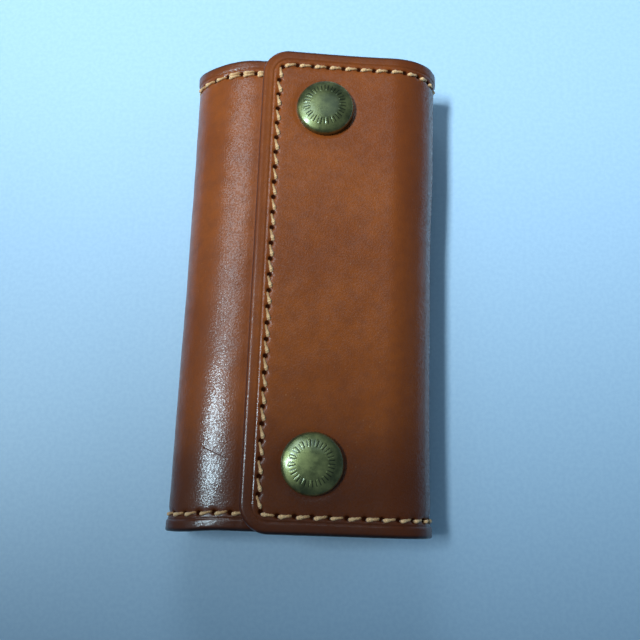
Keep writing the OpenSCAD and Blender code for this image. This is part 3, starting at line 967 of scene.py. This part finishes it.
COVER = cover_leather()
LINING = lining_leather()
THREAD = waxed_thread()
ANTIQUE = antique_brass()
BRASS = plain_metal("satin_brass", srgb(190, 156, 92), srgb(214, 182, 118), 0.24, 0.38)
STEEL = plain_metal("spring_steel", srgb(150, 152, 155), srgb(190, 192, 196), 0.22, 0.35)


# ------------------------------------------------------------------ leather pieces

def fold_s(side, angle):
    """Where an angle of a fold lies on the sheet; 90 is at its flap and -90 at the back."""
    if side == "right":
        return S_RIGHT + (90 - angle) / 180 * (S_BACK - S_RIGHT)
    return S_LEFT + (angle + 90) / 180 * (S_INNER - S_LEFT)


def fold_end(side, angle):
    """Where a fold's blend starts or ends: a point of the lining's inner face, in metres."""
    x, _, z = in_space(fold_s(side, angle), 0, -WALL) * MM
    return [x, 0.0, z]


def fold_bands(side, flap):
    """The three pieces of a fold: each bends across one hinge. (name, bodies, angles, CAD parts)."""
    lower, upper = f"{side}_fold_lower", f"{side}_fold_upper"
    return [
        (f"{side}_fold_bottom", ("back", lower), (-90, -30), [f"{side}_lower"]),
        (f"{side}_fold_middle", (lower, upper), (-30, 30), [f"{side}_lower", f"{side}_upper"]),
        (f"{side}_fold_top", (upper, flap), (30, 90), [f"{side}_upper"]),
    ]


LAYERS = [("cover", COVER, "cover_leather"),
          ("lining", LINING, "lining_leather"),
          ("thread", THREAD, "thread")]


def make_layers(name, grid, splits, cad_parts, place):
    """The cover, lining and thread of one region of the sheet, put in place by a function."""
    for layer, material, slot_name in LAYERS:
        if layer == "thread":
            obj = thread_piece(f"{name}_{layer}", min(splits), max(splits), material)
        else:
            obj = leather_piece(f"{name}_{layer}", grid, splits, material, layer == "cover")
        place(obj)
        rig.replaces(obj, *[f"{part}_{layer}" for part in cad_parts])
        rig.slot(obj, slot_name)


def make_leather():
    """Every piece of leather and thread: three panels, and three pieces for each fold."""
    make_layers("front_flap", flap_grid(FRONT_L, END_HOLES_S), (-1.0, S_RIGHT), ["front"],
                lambda obj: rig.ride(obj, "front_flap"))
    make_layers("back_panel", band_grid(S_BACK, S_LEFT), (S_BACK, S_LEFT), ["back"],
                lambda obj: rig.ride(obj, "back"))
    u, v, quads = flap_grid(INNER_L, [SHEET_L - h for h in END_HOLES_S])
    make_layers("inner_flap", (SHEET_L - u, v, quads), (S_INNER, SHEET_L + 1.0), ["inner"],
                lambda obj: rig.ride(obj, "inner_flap"))
    for side, flap in (("right", "front_flap"), ("left", "inner_flap")):
        for name, bodies, angles, parts in fold_bands(side, flap):
            ends = sorted(fold_s(side, a) for a in angles)
            start, end = (fold_end(side, a) for a in angles)
            make_layers(name, band_grid(*ends), tuple(ends), parts,
                        lambda obj, b=bodies, p=start, q=end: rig.blend(obj, *b, p, q))


make_leather()

# ------------------------------------------------------------------ snap caps

CAP_ROLL, CAP_SAG = 0.75, 1.1  # the rim's rolled edge, and how far the face falls towards it
# The cap's foot turns in a little and sinks into the leather.
FOOT_INSETS, FOOT_HEIGHTS = np.array([0.05, 0.3, 0.6]), np.array([0.05, -0.15, -0.35])
BAR_COUNT, STEPS_PER_BAR = 17, 20
BAR_RING_R, BAR_HALF_L = 4.75, 0.92
BAR_HEIGHT, BAR_HOLLOW = 0.06, 0.03
CAP_TURNS = {"upper": 0.4, "lower": 1.0}  # in radians


def cap_profile():
    """The cap's section from the middle outwards and down to the leather: radius and height."""
    face_r = CAP_R - CAP_ROLL
    r_face = np.linspace(0, face_r, 52)
    z_face = CAP_H - CAP_SAG * (r_face / face_r) ** 3
    lean = math.atan(3 * CAP_SAG / face_r)
    bend = np.linspace(lean, math.pi / 2, 14)[1:]
    size = CAP_ROLL / (1 - math.sin(lean))
    r_roll = face_r + size * (np.sin(bend) - math.sin(lean))
    z_roll = CAP_H - CAP_SAG - size * (math.cos(lean) - np.cos(bend))
    z_side = np.linspace(z_roll[-1], 0.25, 6)[1:]
    return (np.concatenate([r_face, r_roll, np.full(len(z_side), CAP_R), CAP_R - FOOT_INSETS]),
            np.concatenate([z_face, z_roll, z_side, FOOT_HEIGHTS]))


def snap_cap(which):
    """A low cap with a plain ring of small raised bars on its face."""
    segments = BAR_COUNT * STEPS_PER_BAR
    r, z = cap_profile()
    angle = np.linspace(0, 2 * math.pi, segments, endpoint=False)
    rr, aa = np.meshgrid(r[1:], angle, indexing="ij")
    zz = np.repeat(z[1:, None], segments, 1)
    in_ring = np.clip((BAR_HALF_L - np.abs(rr - BAR_RING_R)) / 0.25, 0, 1) * (zz > 1)
    wave = np.cos(BAR_COUNT * aa)
    bar = in_ring * np.clip((wave - 0.25) / 0.5, 0, 1)
    outline = in_ring * np.clip(1.3 - np.abs(wave) / 0.5, 0, 1)
    zz = zz + BAR_HEIGHT * bar - BAR_HOLLOW * outline
    aa = aa + CAP_TURNS[which]
    x, y = SNAP_X + rr * np.cos(aa), SNAP_Y[which] + rr * np.sin(aa)
    points = np.stack([x, y, CASE_T + zz], -1).reshape(-1, 3)
    points = np.concatenate([points, [[SNAP_X, SNAP_Y[which], CASE_T + z[0]]]])
    index = np.arange((len(r) - 1) * segments).reshape(len(r) - 1, segments)
    nxt = np.roll(index, -1, axis=1)
    faces = np.stack([index[:-1], index[1:], nxt[1:], nxt[:-1]], -1).reshape(-1, 4).tolist()
    centre = len(points) - 1
    faces += [[centre, int(i), int(j)] for i, j in zip(index[0], nxt[0])]
    faces.append(index[-1][::-1].tolist())
    obj = new_mesh(f"{which}_snap_cap", points, faces, ANTIQUE)
    # Darker: patina in the hollows round the bars, and painted shade on the lower side and foot of the cap.
    low = np.maximum(outline, np.clip((1.2 - zz) / 1.0, 0, 0.6))
    put_attribute(obj, "patina_and_shade", np.concatenate([low.ravel(), [0.0]]))
    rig.ride(obj, "front_flap")
    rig.replaces(obj, f"{which}_cap")
    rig.slot(obj, "antique_brass")


for which in SNAP_Y:
    snap_cap(which)

# ------------------------------------------------------------------ CAD pieces that stay

METALS = {"socket": BRASS, "stud": BRASS, "eyelet": BRASS, "spring": STEEL,
          "rail": ANTIQUE, "rivets": BRASS, "swivel": ANTIQUE, "loop": ANTIQUE,
          "gate": BRASS, "pin": STEEL}
for name, obj in frame["nodes"].items():
    ending = name.rsplit("_", 1)[-1]
    if ending in METALS:
        obj.data.materials.clear()
        obj.data.materials.append(METALS[ending])

# ------------------------------------------------------------------ floor and light

FLOOR_HALF, FLOOR_Z = 3000.0, -0.02
LAMP_COLOR = (0.82, 0.92, 1.0)
WINDOW_COLOR = (0.62, 0.86, 1.0)
CARD_COLOR = (0.50, 0.75, 1.0)
LAMP_YS = (-0.10, 0.01, 0.12, 0.22)


def floor_material():
    """A plain pale blue-grey surface with a very faint speckle."""
    n = Nodes("pale_floor")
    speckle = n.noise(n.object_place(), 900.0, 3.0)
    color = n.mix(n.between(speckle, 0.3, 0.7), srgb(171, 209, 236), srgb(179, 215, 240))
    return n.finish(color, 0.45, Specular_IOR_Level=0.4)


def make_floor():
    """A large floor just below the case's back."""
    signs = ((-1, -1), (1, -1), (1, 1), (-1, 1))
    corners = [(x * FLOOR_HALF, y * FLOOR_HALF, FLOOR_Z) for x, y in signs]
    floor = new_mesh("floor", corners, [[0, 1, 2, 3]], floor_material(), smooth=False)
    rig.stage(floor)


def aim(obj, place, target):
    """Puts a light at a place, pointing at a target."""
    obj.location = place
    away = obj.location - type(obj.location)(target)
    obj.rotation_euler = away.to_track_quat("Z", "Y").to_euler()


def new_light(name, kind, power, color):
    """Adds a light to the scene."""
    light = bpy.data.lights.new(name, kind)
    light.energy = power
    light.color = color
    obj = bpy.data.objects.new(name, light)
    scene.collection.objects.link(obj)
    return obj


def make_window(name, power, place, size, turn=0.0):
    """A bright opening that only shows as a reflection in the leather and the metal."""
    window = new_light(name, "AREA", power, WINDOW_COLOR)
    window.data.shape = "RECTANGLE"
    window.data.size, window.data.size_y = size
    aim(window, place, (0.0, 0.0, 0.0))
    window.rotation_euler.rotate_axis("Z", math.radians(turn))
    window.visible_diffuse = False


def make_lamps():
    """The lamps that light the case and the floor; none of them shows as a reflection."""
    # A row high on the left, aimed beyond the case's upper end, fades towards its lower end.
    for k, y in enumerate(LAMP_YS):
        lamp = new_light(f"lamp_{k}", "SPOT", 29.5, LAMP_COLOR)
        lamp.data.shadow_soft_size = 0.10
        lamp.data.spot_size = math.radians(33)
        lamp.data.spot_blend = 0.42
        aim(lamp, (-0.59, y, 1.40), (0.03, 0.36, 0.0))
        lamp.visible_glossy = False
    # A weaker one beyond the case's upper end, whose soft shadow falls below the case.
    back_lamp = new_light("back_lamp", "POINT", 10.0, LAMP_COLOR)
    back_lamp.data.shadow_soft_size = 0.28
    back_lamp.location = (-0.12, 0.95, 0.46)
    back_lamp.visible_glossy = False
    # A pale card low on the right lightens the shadow on that side.
    card = new_light("card", "AREA", 1.2, CARD_COLOR)
    card.data.size = 0.5
    aim(card, (0.72, 0.20, 0.25), (0.0, 0.10, 0.0))
    card.visible_glossy = False


def make_world():
    """A weak pale blue light from all round."""
    world = bpy.data.worlds.new("studio")
    world.use_nodes = True
    background = world.node_tree.nodes["Background"]
    background.inputs["Color"].default_value = (0.45, 0.74, 1.0, 1.0)
    background.inputs["Strength"].default_value = 0.12
    scene.world = world


make_floor()
make_lamps()
make_window("window", power=1.35, place=(-0.30, -0.01, 0.38), size=(0.07, 0.15), turn=30.0)
make_window("far_window", power=0.75, place=(-0.23, 0.20, 0.44), size=(0.24, 0.22))
make_window("sky", power=0.7, place=(0.0, 0.50, 1.00), size=(0.50, 0.50))
make_world()

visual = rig.bounds()
with open("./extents.json", "w") as size_file:
    json.dump({"cad": [list(c) for c in CAD_BOX], "visual": [list(c) for c in visual]}, size_file)
